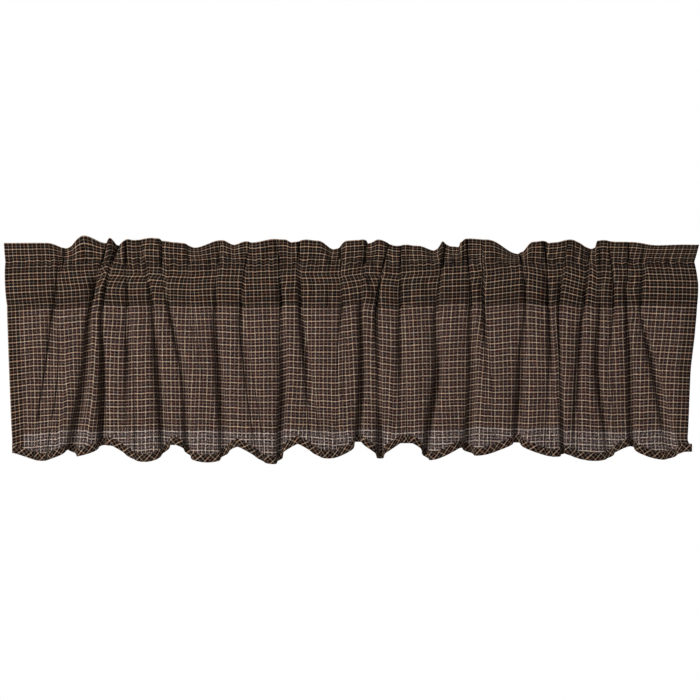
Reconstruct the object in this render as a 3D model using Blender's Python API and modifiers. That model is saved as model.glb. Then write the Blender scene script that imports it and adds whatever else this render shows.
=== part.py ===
"""Gathered window valance with a standing header, a rod pocket and a scalloped, bound hem.

Metres, +Z up, the front faces -Y. The origin is the middle of the top edge, where the rod's mount is.
The cloth is followed level by level. At each level it runs from the left side to the right as flat panels
and folds; a fold is a groove of two shoulders, two straight walls and a bottom, going away from the viewer.
"""
from collections import namedtuple

import bmesh
import bpy
import numpy as np

MM = 0.001
FLAT_WIDTH = 1.829          # the cloth before gathering
HEADER = 0.0381             # top edge to stitch line
POCKET = 0.0762             # stitch line to lower seam
SEAM = HEADER + POCKET
MIDDLE = 0.228              # the level halfway down the skirt
LINING_EDGE = 0.336
SKIRT_LEVELS = (0.165, 0.225, 0.280, LINING_EDGE)
HEM = 0.370                 # level of the hem's folds
CLOTH = 0.001               # thickness of every sheet
LAYER = 0.0008              # half the distance between the turned-over layers' middles
LINING_BACK = 0.0014        # the lining's middle behind the fold line
LINING_DROP = 0.0008        # the lining's top edge below the turned-over end
BINDING_WIDTH = 0.0127
BINDING_LIFT = 0.0018       # between the middles of the binding and the cloth it covers
EDGE_GAP = 0.0018           # between the cloth's cut edge and the binding's turn

WALL_ANGLE = np.radians(85)
SHOULDER_SHARE = 0.6        # of a fold's radii, the rest is its bottom
LEAST_TAKE = 0.0005         # cloth in a fold that has faded out
ROOM_SHARE = 0.85           # of the space up to the next fold that the radii may fill
PANEL_STATION = 0.045       # one station for each such length of panel
PANEL_BULGE = 0.05          # how far a panel bows forward, as a share of its width

ROD_FRONT = 0.012           # how far the rod pushes the pocket's front forward
ROD_BACK = 0.026             # and its back layer backwards
ROD_FRONT_FOLDS = 0.45      # share of the folds' depth that the rod presses out
ROD_BACK_FOLDS = 0.65       # and of those of the back layer
POCKET_POWER = 3            # how round the pocket is over the rod
HEADER_LEAN = 0.5           # backward lean where the header's edge dips

SCALLOP = FLAT_WIDTH / 12
LOBE_POWER = 1.2            # over 1 rounds the corners between scallops

# Levels at which the tables below give positions, and the radii that a fold has there.
LEVELS = (0.0, SEAM, MIDDLE, HEM)
RADII = (0.008, 0.009, 0.012, 0.011)

# The side edges, in mm.
Side = namedtuple("Side", "level left right")
SIDES = [Side(*row) for row in (
    (0, -617, 617),
    (38, -614, 608),
    (76, -613, 613),
    (114, -611, 613),
    (170, -609, 608),
    (228, -607, 601),
    (370, -602, 592),
)]

# One row for each fold, from left to right, in mm: where it lies at the top edge, the lower seam, the
# skirt's middle and the hem, how much cloth it takes up there, and how wide its bends are.
Fold = namedtuple("Fold", "top seam middle hem take_top take_seam take_middle take_hem softness")
FOLDS = [Fold(*row) for row in (
    (-509, -524, -542, -556, 18, 12, 12, 14, 1.6),
    (-439, -463, -477, -492, 24, 34, 50, 64, 1.0),
    (-418, -441, -446, -445, 24, 34, 40, 48, 1.0),
    (-397, -395, -400, -398, 20, 12, 8, 10, 1.6),
    (-365, -356, -351, -329, 14, 28, 24, 24, 1.0),
    (-329, -328, -308, -286, 24, 16, 15, 16, 1.4),
    (-280, -283, -271, -255, 26, 12, 3, 1, 1.0),
    (-232, -241, -237, -226, 22, 28, 30, 28, 1.0),
    (-194, -197, -193, -168, 24, 20, 14, 12, 1.3),
    (-130, -125, -124, -129, 24, 30, 34, 40, 1.0),
    (-97, -91, -81, -63, 26, 26, 26, 10, 1.1),
    (-29, -17, -19, -24, 26, 12, 4, 1, 1.0),
    (26, 15, 13, 8, 26, 26, 34, 46, 1.0),
    (61, 45, 49, 51, 24, 30, 36, 44, 1.0),
    (88, 83, 87, 91, 18, 18, 16, 10, 1.0),
    (159, 147, 146, 134, 26, 26, 40, 54, 1.0),
    (201, 208, 210, 209, 28, 30, 34, 40, 1.0),
    (232, 233, 242, 251, 20, 18, 6, 2, 1.0),
    (294, 307, 297, 292, 28, 26, 26, 28, 1.1),
    (343, 347, 351, 345, 26, 24, 20, 8, 1.0),
    (375, 371, 373, 370, 16, 20, 30, 44, 1.0),
    (418, 409, 398, 395, 26, 22, 24, 4, 1.0),
    (441, 438, 430, 457, 18, 24, 24, 20, 1.0),
    (464, 466, 459, 476, 22, 16, 8, 1, 1.0),
    (493, 490, 492, 495, 24, 26, 30, 33, 1.0),
    (521, 514, 537, 567, 20, 24, 26, 26, 1.0),
)]

# The top edge, in mm: each crest and the dip to its right.
Crest = namedtuple("Crest", "crest crest_height dip dip_height")
TOP_EDGE = [Crest(*row) for row in (
    (-553, -4, -507, -14),
    (-477, 8, -439, -4),
    (-429, 4, -418, -10),
    (-397, 3, -379, 2),
    (-354, 4, -280, -12),
    (-233, 1, -212, -8),
    (-187, -1, -170, -3),
    (-134, 3, -102, -3),
    (-77, 1, -28, -16),
    (12, 2, 31, -8),
    (47, 1, 146, -18),
    (159, -1, 187, -12),
    (203, 2, 214, 1),
    (239, 1, 299, -25),
    (333, -2, 356, -5),
    (388, 1, 427, -17),
    (452, 1, 551, -10),
    (600, -8, 620, -8),
)]

# The hem, in mm below the top edge: each scallop's left corner and its lowest point.
Scallop = namedtuple("Scallop", "corner lowest")
SCALLOPS = [Scallop(*row) for row in (
    (374, 389),
    (368, 382),
    (362, 390),
    (360, 393),
    (364, 395),
    (360, 384),
    (356, 384),
    (358, 388),
    (365, 380),
    (357, 381),
    (375, 389),
    (363, 387),
)]
LAST_CORNER = 372


def through(levels, values, level):
    """A smooth curve through values at the levels, each with the slope of its neighbours."""
    levels = np.asarray(levels, float)
    values = np.asarray(values, float)
    slopes = np.gradient(values, levels, axis=0)
    i = int(np.clip(np.searchsorted(levels, level) - 1, 0, len(levels) - 2))
    span = levels[i + 1] - levels[i]
    t = (level - levels[i]) / span
    start = (1 + 2 * t) * (1 - t) ** 2 * values[i] + t * (1 - t) ** 2 * span * slopes[i]
    end = t * t * (3 - 2 * t) * values[i + 1] + t * t * (t - 1) * span * slopes[i + 1]
    return start + end


def fold_table(level):
    """Each fold's position and take-up at a level."""
    table = np.array(FOLDS) * MM
    places = through(LEVELS, table[:, 0:4].T, level)
    takes = np.maximum(through(LEVELS, table[:, 4:8].T, level), LEAST_TAKE)
    return places, takes


def sides(level):
    """The left and right edge of the cloth at a level."""
    table = np.array(SIDES) * MM
    return [np.interp(level, table[:, 0], table[:, column]) for column in (1, 2)]


def panel_stations():
    """How many stations each panel has, the same at every level."""
    stops = np.array([SIDES[-1].left, *(fold.hem for fold in FOLDS), SIDES[-1].right]) * MM
    return np.maximum(1, np.round(np.diff(stops) / PANEL_STATION)).astype(int)


def section(level):
    """The line of the cloth at a level: x, y and the distance along the cloth at each station."""
    places, takes = fold_table(level)
    left, right = sides(level)
    stops = np.concatenate([[left], places, [right]])
    gaps = np.diff(stops)
    gaps[[0, -1]] *= 2
    room = np.minimum(gaps[:-1], gaps[1:]) / 2
    softness = np.array([fold.softness for fold in FOLDS])
    radii = np.minimum(through(LEVELS, RADII, level) * softness, ROOM_SHARE * room)
    angle = np.minimum(np.cbrt(3 * takes / radii), WALL_ANGLE)
    wall = (takes / 2 - radii * (WALL_ANGLE - np.sin(WALL_ANGLE))) / (1 - np.cos(WALL_ANGLE))
    wall = np.maximum(wall, 0.0)
    shoulder = SHOULDER_SHARE * radii
    bottom = radii - shoulder
    half_width = radii * np.sin(angle) + wall * np.cos(angle)
    half_length = radii * angle + wall
    depth = radii * (1 - np.cos(angle)) + wall * np.sin(angle)
    half = angle / 2
    shoulder_x = half_width - shoulder * np.sin(half)
    shoulder_y = shoulder * (1 - np.cos(half))
    bottom_x = bottom * np.sin(half)
    bottom_y = depth - bottom * (1 - np.cos(half))
    bottom_length = bottom * half

    counts = panel_stations()
    x, y, along = [left], [0.0], [0.0]
    walked = 0.0
    here = left
    for k, count in enumerate(counts):
        last = k == len(FOLDS)
        end = right if last else places[k] - half_width[k]
        for step in range(count):
            share = (step + 1) / (count + 1)
            x.append(here + share * (end - here))
            y.append(-PANEL_BULGE * (end - here) * np.sin(np.pi * share))
            along.append(walked + share * (end - here))
        walked += end - here
        if last:
            break
        middle = walked + half_length[k]
        x += [places[k] - shoulder_x[k], places[k] - bottom_x[k]]
        x += [places[k] + bottom_x[k], places[k] + shoulder_x[k]]
        y += [shoulder_y[k], bottom_y[k], bottom_y[k], shoulder_y[k]]
        reach = half_length[k] - shoulder[k] * half[k]
        along += [middle - reach, middle - bottom_length[k]]
        along += [middle + bottom_length[k], middle + reach]
        walked += 2 * half_length[k]
        here = places[k] + half_width[k]
    x.append(right)
    y.append(0.0)
    along.append(walked)
    return np.array(x), np.array(y), np.array(along) * FLAT_WIDTH / walked


def offset(x, y, distance):
    """The same line moved backwards by a distance, square to itself."""
    run = np.diff(np.stack([x, y]), axis=1)
    run /= np.linalg.norm(run, axis=0)
    before = np.concatenate([run[:, :1], run], axis=1)
    after = np.concatenate([run, run[:, -1:]], axis=1)
    tangent = before + after
    tangent /= np.linalg.norm(tangent, axis=0)
    miter = distance / np.sum(tangent * after, axis=0)
    return x - tangent[1] * miter, y + tangent[0] * miter


def top_edge(x):
    """Height of the header's edge, eased from each crest to the next dip."""
    table = np.array(TOP_EDGE) * MM
    places = table[:, 0::2].ravel()
    heights = table[:, 1::2].ravel()
    i = np.clip(np.searchsorted(places, x) - 1, 0, len(places) - 2)
    share = np.clip((x - places[i]) / (places[i + 1] - places[i]), 0, 1)
    ease = (1 - np.cos(np.pi * share)) / 2
    return heights[i] + ease * (heights[i + 1] - heights[i])


def hem_depth(along):
    """How far below the top edge the scalloped hem is, at a distance along the cloth."""
    corners = np.array([row.corner for row in SCALLOPS] + [LAST_CORNER]) * MM
    lowest = np.array([row.lowest for row in SCALLOPS]) * MM
    i = np.clip((along / SCALLOP).astype(int), 0, len(SCALLOPS) - 1)
    share = along / SCALLOP - i
    chord = corners[i] + share * (corners[i + 1] - corners[i])
    middle = (corners[i] + corners[i + 1]) / 2
    return chord + (lowest[i] - middle) * np.abs(np.sin(np.pi * share)) ** LOBE_POWER


def skirt_row(level, back, lift=0.0):
    """A level row of the skirt, or with a lift a row that follows the hem."""
    x, y, along = section(level)
    depth = hem_depth(along) - lift if level > LINING_EDGE else np.full_like(x, level)
    x, y = offset(x, y, back)
    return np.stack([x, y, -depth])


def heading_row(level, side):
    """A row of the header or the pocket, side -1 the front layer and +1 the turned-over one."""
    x, y, along = section(level)
    across = (level - HEADER - POCKET / 2) / (POCKET / 2)
    round_rod = 1 - min(abs(across), 1) ** POCKET_POWER
    pressed = ROD_FRONT_FOLDS if side < 0 else ROD_BACK_FOLDS
    push = -ROD_FRONT if side < 0 else ROD_BACK
    y = y * (1 - pressed * round_rod)
    x, y = offset(x, y, side * LAYER)
    y = y + push * round_rod
    risen = max(0.0, 1 - level / HEADER)
    height = top_edge(x)
    z = risen * height - (1 - risen) * level
    y = y - HEADER_LEAN * np.minimum(height, 0) * risen
    return np.stack([x, y, z])


def cloth_rows():
    """The front from the hem up, over the top edge and down the back to the lower seam."""
    skirt = [skirt_row(HEM, -LAYER), skirt_row(HEM - BINDING_WIDTH, -LAYER, BINDING_WIDTH)]
    skirt += [skirt_row(level, -LAYER) for level in reversed(SKIRT_LEVELS)]
    levels = [HEADER + POCKET * share for share in (1, 0.75, 0.5, 0.25, 0)] + [0.0]
    front = [heading_row(level, -1) for level in levels]
    back = [heading_row(level, 1) for level in reversed(levels)]
    return skirt + front + back


def lining_rows():
    """A straight sheet from under the lower seam to its own level edge."""
    top = skirt_row(SEAM, LINING_BACK)
    top[2] -= LINING_DROP
    return [top] + [skirt_row(level, LINING_BACK) for level in SKIRT_LEVELS]


def binding_rows():
    """A strip up the front of the hem, round its cut edge and up its back."""
    front = -LAYER - BINDING_LIFT
    back = -LAYER + BINDING_LIFT
    turn = -EDGE_GAP
    top = (HEM - BINDING_WIDTH, BINDING_WIDTH)
    rows = [skirt_row(top[0], front, top[1]), skirt_row(HEM, front, turn)]
    rows += [skirt_row(HEM, back, turn), skirt_row(top[0], back, top[1])]
    return rows


def cloth_material(name, colour, roughness):
    """A matt cloth surface of one colour."""
    material = bpy.data.materials.new(name)
    material.use_nodes = True
    surface = material.node_tree.nodes["Principled BSDF"]
    surface.inputs["Base Color"].default_value = (*colour, 1.0)
    surface.inputs["Roughness"].default_value = roughness
    surface.inputs["Metallic"].default_value = 0.0
    return material


def sheet(name, rows, material, collection):
    """A grid with one row of points for each row given, thickened to both sides."""
    points = np.stack(rows)
    count_rows, _, count_columns = points.shape
    grid = bmesh.new()
    bmesh.ops.create_grid(grid, x_segments=count_columns - 1, y_segments=count_rows - 1, size=1.0)
    for vertex in grid.verts:
        column = round((vertex.co.x + 1) / 2 * (count_columns - 1))
        row = round((vertex.co.y + 1) / 2 * (count_rows - 1))
        vertex.co = points[row, :, column]
    mesh = bpy.data.meshes.new(name)
    grid.to_mesh(mesh)
    grid.free()
    mesh.materials.append(material)
    thing = bpy.data.objects.new(name, mesh)
    collection.objects.link(thing)
    solidify = thing.modifiers.new("thickness", "SOLIDIFY")
    solidify.thickness = CLOTH
    solidify.offset = 0.0
    return thing


def main():
    for thing in list(bpy.data.objects):
        bpy.data.objects.remove(thing, do_unlink=True)
    collection = bpy.data.collections.new("window_valance")
    bpy.context.scene.collection.children.link(collection)
    check = cloth_material("dark check cotton", (0.058, 0.040, 0.030), 0.9)
    plain = cloth_material("natural lining cotton", (0.60, 0.56, 0.49), 0.9)
    bias = cloth_material("dark check cotton on the bias", (0.066, 0.046, 0.035), 0.9)
    sheet("valance_cloth", cloth_rows(), check, collection)
    sheet("lining", lining_rows(), plain, collection)
    sheet("hem_binding", binding_rows(), bias, collection)


main()
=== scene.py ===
"""Gathered window valance in dark check cotton, dressed on the folds of its CAD solids.

Metres, +Z up, the front faces -Y, the origin is the middle of the top edge. The cloth is laid out on two
numbers: u, the distance along it from its left edge, and v, the distance down from its top edge, which is
negative on the part that is turned over to the back.
"""
from collections import namedtuple

import bpy
import numpy as np
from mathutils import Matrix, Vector


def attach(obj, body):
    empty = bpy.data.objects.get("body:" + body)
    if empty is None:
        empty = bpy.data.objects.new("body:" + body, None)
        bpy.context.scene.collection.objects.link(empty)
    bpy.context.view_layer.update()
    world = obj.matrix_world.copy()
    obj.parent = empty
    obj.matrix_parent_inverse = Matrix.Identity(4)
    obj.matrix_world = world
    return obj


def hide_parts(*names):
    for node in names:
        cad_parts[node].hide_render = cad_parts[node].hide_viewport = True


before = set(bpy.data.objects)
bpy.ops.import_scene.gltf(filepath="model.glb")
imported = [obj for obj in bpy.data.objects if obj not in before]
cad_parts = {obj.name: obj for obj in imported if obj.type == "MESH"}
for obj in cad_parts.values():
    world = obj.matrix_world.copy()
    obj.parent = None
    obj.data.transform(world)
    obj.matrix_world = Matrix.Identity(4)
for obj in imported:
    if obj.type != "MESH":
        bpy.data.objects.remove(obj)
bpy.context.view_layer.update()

MM = 0.001

# The cloth and the levels it is sewn at.
FLAT_WIDTH = 1.829          # the cloth before gathering
HEADER = 0.0381             # top edge to stitch line
POCKET = 0.0762             # stitch line to lower seam
SEAM = HEADER + POCKET
MIDDLE = 0.228              # a level about halfway down the skirt
LINING_EDGE = 0.336         # the lining's level hem
HEM = 0.370                 # level of the cloth's own hem, where the scallops' folds are given
TURNED_END = SEAM + 0.002   # how far down the turned-over part reaches
THICK = 0.0004              # cotton cloth
LAYER = 0.0008              # half the distance between the two layers of the heading
HEADER_STRETCH = 1.15       # cloth in the header for each metre of its height
HEADER_LEAN = 0.5           # backward lean where the header's edge dips
HEADER_PUFF = 0.0010        # how far the header's two layers stand apart between their stitches
LOBE_POWER = 1.2            # over 1 rounds the corners between scallops

# The side hems: their width, and how far they are set back at some levels, more where the lining is between.
SIDE_HEM = 0.020
SIDE_HEM_GAPS = ((SEAM, 0.00055), (SEAM + 0.012, 0.00175), (LINING_EDGE - 0.004, 0.00175),
                 (LINING_EDGE + 0.010, 0.0006))

# The lining.
LINING_INSET = 0.010        # its side edges, in from the cloth's
LINING_FREE = 1.2           # how much further from the cloth it is at its hem than at its top, in LAYERs
LINING_WAVES = 0.0006       # its own waves there
LINING_HEM_GAP = 0.0009     # between it and its turned-up hem

# How a fold and the flat panel beside it are shaped.
WALL_ANGLE = np.radians(85)
SHOULDER_SHARE = 0.6        # of a fold's radii, the rest is its bottom
ROOM_SHARE = 0.85           # of the space up to the next fold that the radii may fill
PRESSED_SHARE = 0.9         # and that two neighbours may fill between them
LEAST_TAKE = 0.0005         # cloth in a fold that has faded out
LEAN_BLEND = 0.04           # the height about the lower seam where its lean changes over
PANEL_BULGE = 0.05          # how far a panel bows forward, as a share of its width
PANEL_STEP = 0.0034         # between the columns of points where a flat panel is widest
LEAST_COLUMNS = 3           # in a panel
SHOULDER_STEPS = 4
BOTTOM_STEPS = 2

# How the threads run through the folds.
HIDDEN = (0.3, 0.7)         # the part of a fold that doesn't show, as shares of the way through it
PLUMB_FROM = 0.045          # the upright threads of a panel this wide hang plumb
LEAST_PLUMB = 0.1           # how much a narrow panel counts, where a wide one counts as 1
EDGE_PLUMB = 50.0           # and the two panels at the side edges
HIDING = 0.020              # the length of an open fold that can hide cloth well
FLAT_HIDING = 0.1           # what a flattened fold hides, as a share of an open one
WOBBLE = 0.0019             # the level threads' rise and fall at the header's gathers

# The rod's room in the pocket, and how much of the folds' depth it presses out, in front and behind.
ROD_FRONT = 0.012
ROD_BACK = 0.026
ROD_FRONT_FOLDS = 0.45
ROD_BACK_FOLDS = 0.65
POCKET_POWER = 3            # how round the pocket is over the rod
CREASES_LOST = 0.7          # of a crease's depth, on the pocket's back

# How far the gathers stand out.
HEADER_PUCKERS = 0.0026
SEAM_PUCKERS = 0.0008
LONG_WAVES = 0.0011         # of the whole skirt
SLANTED_WAVES = 0.0008
CALM_EDGE = 0.03            # they are weaker this close to the side edges
HEADER_FADES = (0.020, 0.011)       # the puckers' reach above and below their stitches
SEAM_FADE = 0.012

# Sewing.
STITCH = 0.0032             # from one stitch to the next
SEWING_THREAD = 0.0005      # its thickness
SEAM_ROW = SEAM - 0.0015    # the lower seam's row of stitches
BINDING_ROW = 0.0106        # the binding's row, up from the cloth's edge
ON_CLOTH = THICK / 2 + 0.00012      # from the cloth's middle to the thread that lies on it
ON_BINDING_FRONT = 0.0016
ON_BINDING_BACK = 0.0015

# The check, measured on the flat cloth.
WARP_REPEAT = 0.0143        # between two bright upright lines
WEFT_REPEAT = 0.0111        # between two bright level lines
LINE_WIDTH = 0.0015         # each line is about three threads wide
WEFT_START = 0.006          # the first bright level line below the top edge
THREAD = 0.00055            # one thread of the plain weave
WEFT_SHOWS = 0.21           # share of the fatter weft that shows where a warp thread is on top

# Painted light: from this far down, or across, the share of the cloth's colour that is painted with the lining
# seen through it, or below the lining with the light that comes through.
PAINTED_SEE_THROUGH = ((SEAM, 0.023), (LINING_EDGE, 0.052))
BETWEEN_SIDE_HEMS = ((SIDE_HEM, 1.0), (FLAT_WIDTH - SIDE_HEM, 0.25))
STEP_BLUR = 0.0008          # half the width of the change from one share to the next

# Brightness of the studio on the camera's side; behind the object it is 1.
FRONT_WALL = 0.47

# The levels at which the folds are given, and the mean radius of their bends there.
LEVELS = (0.0, SEAM, MIDDLE, HEM)
RADII = (0.005, 0.0075, 0.021, 0.027)

# The side edges, in mm.
Side = namedtuple("Side", "level left right")
SIDES = [Side(*row) for row in (
    (0, -617, 617),
    (38, -614, 608),
    (76, -613, 613),
    (114, -611, 613),
    (170, -609, 608),
    (228, -607, 601),
    (352, -602, 596),
    (370, -602, 604),
)]

# One row for each fold from left to right, in mm: its place and the cloth it takes up at the top edge, the
# lower seam, the skirt's middle and the hem. softness widens its bends. A lean above 0 makes its left
# shoulder wide and its right one tight, below 0 the other way round, in the heading and in the skirt.
Fold = namedtuple(
    "Fold", "top seam middle hem take_top take_seam take_middle take_hem softness lean_top lean_skirt")
FOLDS = [Fold(*row) for row in (
    (-509, -526, -533, -552, 18, 12, 12, 18, 1.5, 0.0, 0.5),
    (-432, -464, -472, -498, 24, 34, 50, 80, 1.0, 0.5, 0.6),
    (-414, -442, -443, -443, 24, 34, 40, 30, 1.2, 0.5, 1.0),
    (-401, -396, -394, -392, 20, 12, 8, 10, 1.4, 0.0, 0.5),
    (-375, -353, -344, -331, 14, 28, 24, 24, 1.2, 0.0, 1.2),
    (-341, -325, -299, -291, 24, 16, 15, 28, 1.3, -1.0, 0.6),
    (-293, -283, -271, -255, 26, 12, 3, 1, 1.0, 0.0, 0.5),
    (-232, -241, -236, -226, 22, 28, 30, 28, 1.3, 0.0, 0.4),
    (-180, -195, -184, -162, 24, 20, 14, 12, 1.2, 0.0, 0.6),
    (-130, -125, -120, -128, 24, 30, 34, 40, 1.0, 0.0, 1.0),
    (-93, -91, -78, -63, 26, 26, 26, 10, 1.3, 0.0, 0.6),
    (-19, -17, -19, -24, 26, 12, 4, 1, 1.0, 0.0, 0.5),
    (26, 17, 19, 11, 26, 26, 34, 46, 1.2, 0.0, 0.8),
    (66, 45, 49, 51, 24, 30, 36, 44, 0.9, 0.0, 0.8),
    (88, 86, 90, 93, 18, 18, 16, 10, 1.0, 0.0, 0.5),
    (168, 153, 155, 132, 26, 26, 40, 36, 1.3, 0.0, 1.2),
    (206, 212, 215, 208, 28, 30, 34, 52, 1.1, 0.0, 0.8),
    (232, 235, 243, 251, 20, 18, 6, 2, 1.0, 0.0, 0.5),
    (299, 310, 303, 294, 28, 26, 26, 28, 1.1, 0.0, 0.6),
    (343, 350, 355, 349, 26, 24, 20, 8, 0.9, 0.0, 0.5),
    (385, 368, 371, 375, 16, 20, 30, 44, 0.8, 0.0, 0.6),
    (425, 413, 403, 396, 26, 22, 24, 4, 1.0, 0.0, 0.5),
    (441, 441, 437, 460, 18, 24, 24, 20, 1.0, 0.0, 0.5),
    (457, 466, 459, 478, 22, 16, 8, 1, 0.8, 0.0, 0.5),
    (493, 488, 495, 498, 24, 26, 30, 33, 1.1, 0.0, 0.5),
    (528, 514, 539, 567, 20, 24, 26, 26, 1.2, 0.0, 0.5),
)]

# How much of each fold's depth stands open there, in tenths: seams, the rod's pull and the fall of the cloth
# press the rest flat. The same order as the folds.
Shows = namedtuple("Shows", "header stitch under_stitch over_seam under_seam upper lower hem")
SHOWS = [Shows(*row) for row in (
    (2.5, 4, 1.5, 8, 8.5, 8, 1.6, 0.4),
    (5, 4, 1.5, 8, 5.5, 5.5, 4.5, 4),
    (6.5, 2, 4, 12, 3.5, 7, 8.5, 7.5),
    (5.5, 4.5, 1.5, 13, 5.5, 13, 4.5, 0.8),
    (5, 1, 1, 7, 2.5, 9.5, 9, 6.5),
    (2.2, 2.2, 4, 3, 8, 7.5, 6.5, 7),
    (2, 2, 0, 1, 1, 0, 0, 0),
    (2, 3, 0.5, 5, 3.2, 6, 8, 5.5),
    (3.5, 2.5, 3, 7, 5.5, 6, 4, 2),
    (2, 4, 1.5, 8, 2.5, 5, 6.5, 6),
    (4, 2.5, 1, 7, 5.5, 7, 4.5, 1),
    (4, 4, 2, 3, 7, 2.5, 1.5, 0),
    (1.8, 2.2, 1, 1.5, 7, 7, 7, 5),
    (6, 3, 2, 14, 6.5, 2.5, 2.2, 7),
    (4, 3, 1.5, 5, 4, 7, 3.5, 2),
    (3.5, 4.2, 4, 3.5, 3.5, 6, 6.8, 6),
    (6, 6, 3, 6, 4, 4.5, 4, 5.5),
    (3, 2, 6, 6, 10, 4, 1.2, 0.4),
    (6, 5, 1, 4.5, 2.5, 4.5, 7.5, 5),
    (8, 7.5, 5, 7, 6.5, 7, 2, 1),
    (3.5, 0.5, 0.5, 6, 5, 5, 2.2, 3.5),
    (3, 3.2, 2, 3.2, 4.2, 6.5, 8.5, 3.5),
    (1.5, 3, 1, 0.6, 2.8, 6, 8.2, 3.5),
    (4, 3.5, 4, 5, 6, 3.5, 0.5, 0),
    (4.5, 3, 2, 3.5, 5, 5.5, 6, 5),
    (0.3, 0.5, 2, 5.5, 2.2, 7.5, 4.2, 1.5),
)]
SHOW_LEVELS = (0.015, 0.038, 0.060, 0.088, 0.125, 0.200, 0.280, 0.350)

# The level threads run lower at some panels than at others, in mm. One row for each panel from left to
# right, its left and its right end in the pocket, in the upper skirt and in the lower skirt.
Weft = namedtuple("Weft", "pocket_left pocket_right upper_left upper_right lower_left lower_right")
WEFTS = [Weft(*row) for row in (
    (10, 6, 9, 4.5, 11.5, 6),
    (6, 2.5, 8, 4.5, 2.5, -1),
    (0, -4, -1, 0.5, -1.5, 2),
    (0.5, 1.5, -1, 0.5, 0.5, 0.5),
    (2.5, 2, -2, -3, -0.5, -2),
    (-2.5, -1.5, -3, -3, -0.5, 0),
    (3, 4, -1.5, -1, 0, -0.5),
    (4.5, 2.5, -1, -1, 0, 1),
    (0.5, 1.5, 0.5, 1.5, 2, 3),
    (5.5, 4, 3, 1.5, 3, 3.5),
    (1.5, 0.5, -2.5, -1.5, -3, -2),
    (5.5, 5, 3.5, 3, 0, 2),
    (2, -2, 0, -2, 0.5, -1),
    (-4.5, -4, -4.5, -3, -2.5, -2),
    (7, 9, 2, 4.5, 1, 3.5),
    (6, 2, 2.5, 0.5, 2, 0.5),
    (-2, -4, -2.5, -4, -0.5, -1.5),
    (-6, -8, -6, -3.5, -7, -6),
    (2, -5.5, 0, -4, -5.5, -4),
    (-4, 2, -3.5, -2, -3.5, -5),
    (3, 1.5, -1, -3, -5, -5.5),
    (-4.5, 5, 1, 2, 0, -0.5),
    (0, 5.5, 0, 0.5, 0, 2),
    (4.5, 5.5, 2.5, 3, 2.5, 3),
    (0.5, 0.5, 2, 0.5, 2.5, 2.5),
    (2, 1.5, -3, -3, -0.5, -2),
    (-2, 0, 2.5, 5, 3, 3.5),
)]
WEFT_LEVELS = (HEADER + POCKET / 2, 0.165, 0.330)

# The top edge, in mm: each crest and the dip to its right.
Crest = namedtuple("Crest", "crest crest_height dip dip_height")
TOP_EDGE = [Crest(*row) for row in (
    (-540, -4, -507, -13),
    (-475, 9, -436, -4),
    (-430, 5, -415, -8),
    (-399, 3, -386, 1),
    (-354, 5, -342, 4),
    (-337, 0, -312, -3),
    (-301, -4, -279, -12),
    (-230, 1, -209, -7),
    (-187, -1, -176, -3),
    (-136, 3, -118, 2),
    (-106, -3, -101, -2),
    (-81, 2, -60, 0),
    (-31, -15, -27, -14),
    (-8, 0, 10, 1),
    (20, 2, 26, 1),
    (30, -5, 33, -4),
    (47, 2, 80, -9),
    (97, -7, 118, -9),
    (147, -17, 155, -13),
    (160, -1, 178, -10),
    (191, -11, 194, -2),
    (204, 4, 240, 2),
    (297, -23, 302, -20),
    (322, -2, 344, 0),
    (350, -4, 360, -3),
    (388, 2, 428, -14),
    (433, -12, 437, 0),
    (446, 1, 470, -2),
    (492, -2, 545, -8),
    (590, -7, 620, -7),
)]

# The hem, in mm: where on the flat cloth each scallop begins and ends, and how far below the top edge its
# left corner and its lowest point are. What lies between two scallops is hidden in a fold.
Scallop = namedtuple("Scallop", "start end corner lowest")
SCALLOPS = [Scallop(*row) for row in (
    (0, 134, 375, 389),
    (134, 270, 365, 382),
    (302, 438, 362, 391),
    (449, 614, 361, 392),
    (614, 772, 364, 395),
    (772, 902, 359, 385),
    (936, 1054, 356, 386),
    (1083, 1205, 358, 388),
    (1211, 1359, 366, 380),
    (1375, 1514, 357, 381),
    (1514, 1660, 375, 389),
    (1687, 1818, 364, 387),
)]
LAST_CORNER = 373
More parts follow.
